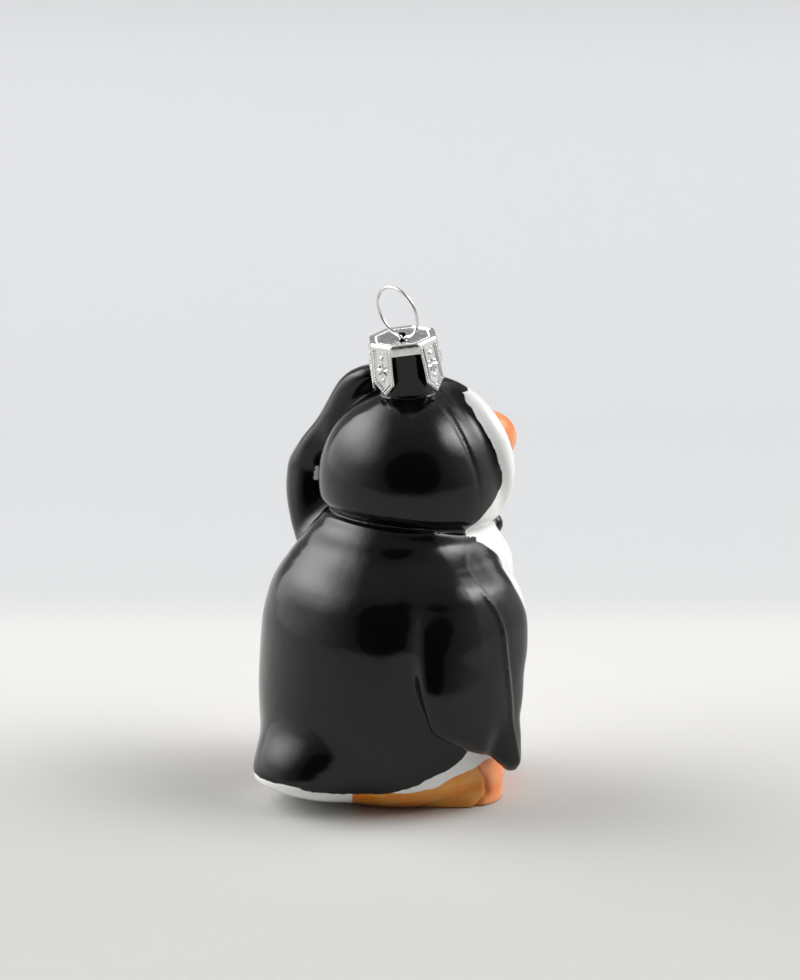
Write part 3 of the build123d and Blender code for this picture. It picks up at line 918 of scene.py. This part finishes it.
tone = node(sheet, "ShaderNodeValToRGB", [("Fac", depth.outputs["Result"])])
# Painted shade: the front end, out of view, is near black, so the coat mirrors a dark floor there.
tone.color_ramp.elements[0].color = linear("#4c4c4c")
tone.color_ramp.elements[1].color = linear("#c9cacc")
for at, colour in floor_painted_shade_tones:
    tone.color_ramp.elements.new(at).color = linear(colour)
thread = node(sheet, "ShaderNodeTexNoise", [("Vector", laid)], in_Scale=1000 / thread_mm, in_Detail=2.0)
weave = node(sheet, "ShaderNodeBump", [("Height", thread.outputs["Fac"])], in_Strength=0.15,
             in_Distance=0.0003)
cotton = node(sheet, "ShaderNodeBsdfPrincipled",
              [("Base Color", tone.outputs["Color"]), ("Normal", weave.outputs["Normal"])], in_Roughness=0.9)
node(sheet, "ShaderNodeOutputMaterial", [("Surface", cotton.outputs["BSDF"])])
sweep_mesh.materials.append(cloth)

world = bpy.data.worlds.new("soft_room")
world.use_nodes = True
world.node_tree.nodes.clear()
room = world.node_tree
sky = node(room, "ShaderNodeTexCoord").outputs["Generated"]
toward_camera = Vector((view_back.x, view_back.y, 0)).normalized()
facing = node(room, "ShaderNodeVectorMath", [(0, sky)], operation="DOT_PRODUCT", in_1=toward_camera)
glow = node(room, "ShaderNodeMapRange", [("Value", facing.outputs["Value"])], in_From_Min=-1.0,
            in_To_Min=0.65, in_To_Max=0.2).outputs["Result"]


def soft_window(light, side, rise, wide, tall, strength):
    """The room's light with one more soft-edged window, at angles from the camera's side and the floor."""
    c, s = cos(radians(rise)), sin(radians(rise))
    level = cos(radians(side)) * toward_camera + sin(radians(side)) * view_right
    way = c * level + s * Vector((0, 0, 1))
    across = Vector((0, 0, 1)).cross(way).normalized()
    turn = Matrix((across, way.cross(across), way)).transposed().to_euler()
    pane = node(room, "ShaderNodeMapping", [("Vector", sky)], vector_type="TEXTURE", in_Location=way,
                in_Rotation=turn, in_Scale=(wide, tall, 1.0))
    fade = node(room, "ShaderNodeTexGradient", [("Vector", pane.outputs["Vector"])],
                gradient_type="SPHERICAL")
    shine = node(room, "ShaderNodeMapRange", [("Value", fade.outputs["Fac"])],
                 interpolation_type="SMOOTHSTEP", in_To_Max=strength)
    total = node(room, "ShaderNodeMath", [(0, light), (1, shine.outputs["Result"])], operation="ADD")
    return total.outputs[0]


# Windows: degrees round from the camera, degrees up, width, height and strength
windows = [
    (-105, 40, 0.85, 0.56, 7.0), (-105, 10, 1.2, 1.0, 1.2), (90, 47, 0.48, 0.42, 12.5),
    (116, 33, 0.62, 0.36, 4.0), (100, 18, 1.1, 0.9, 0.7), (-142, 28, 0.8, 0.8, 1.6),
]
for window in windows:
    glow = soft_window(glow, *window)
backdrop = node(room, "ShaderNodeBackground", [("Strength", glow)])
node(room, "ShaderNodeOutputWorld", [("Surface", backdrop.outputs["Background"])])
bpy.context.scene.world = world
bpy.context.scene.view_settings.view_transform = "Standard"

flag_away = 0.5
flag_half = (0.34, 0.27)
flag_rise = 0.09
flag_sides = 32
flag_points = []
for i in range(flag_sides):
    turn = i * 2 * pi / flag_sides
    flag_points.append(view_back * flag_away + view_right * (flag_half[0] * cos(turn))
                       + view_up * (flag_rise + flag_half[1] * sin(turn)))
flag_mesh = bpy.data.meshes.new("dark_flag")
flag_mesh.from_pydata(flag_points, [], [tuple(range(flag_sides))])
flag = bpy.data.objects.new("dark_flag", flag_mesh)
bpy.context.scene.collection.objects.link(flag)
# Black felt: quite dull, so the coat that mirrors it stays black
flag_cloth = bpy.data.materials.new("black_felt")
flag_cloth.use_nodes = True
flag_cloth.node_tree.nodes["Principled BSDF"].inputs["Base Color"].default_value = linear("#141414")
flag_cloth.node_tree.nodes["Principled BSDF"].inputs["Roughness"].default_value = 1.0
flag_mesh.materials.append(flag_cloth)
flag.visible_camera = False
flag.visible_shadow = False

camera_across = -1.365
camera_rise = 55.77
camera_away = 800
camera_data = bpy.data.cameras.new("camera")
camera_data.lens = 184.6
camera_data.sensor_width = 36.0
camera_data.sensor_fit = "HORIZONTAL"
camera_data.clip_start = 0.01
camera = bpy.data.objects.new("camera", camera_data)
bpy.context.scene.collection.objects.link(camera)
camera.matrix_world = Matrix((
    (view_right.x, view_up.x, view_back.x, 0),
    (view_right.y, view_up.y, view_back.y, 0),
    (view_right.z, view_up.z, view_back.z, 0),
    (0, 0, 0, 1),
))
camera.location = (view_right * camera_across + view_up * camera_rise + view_back * camera_away) / 1000
bpy.context.scene.camera = camera
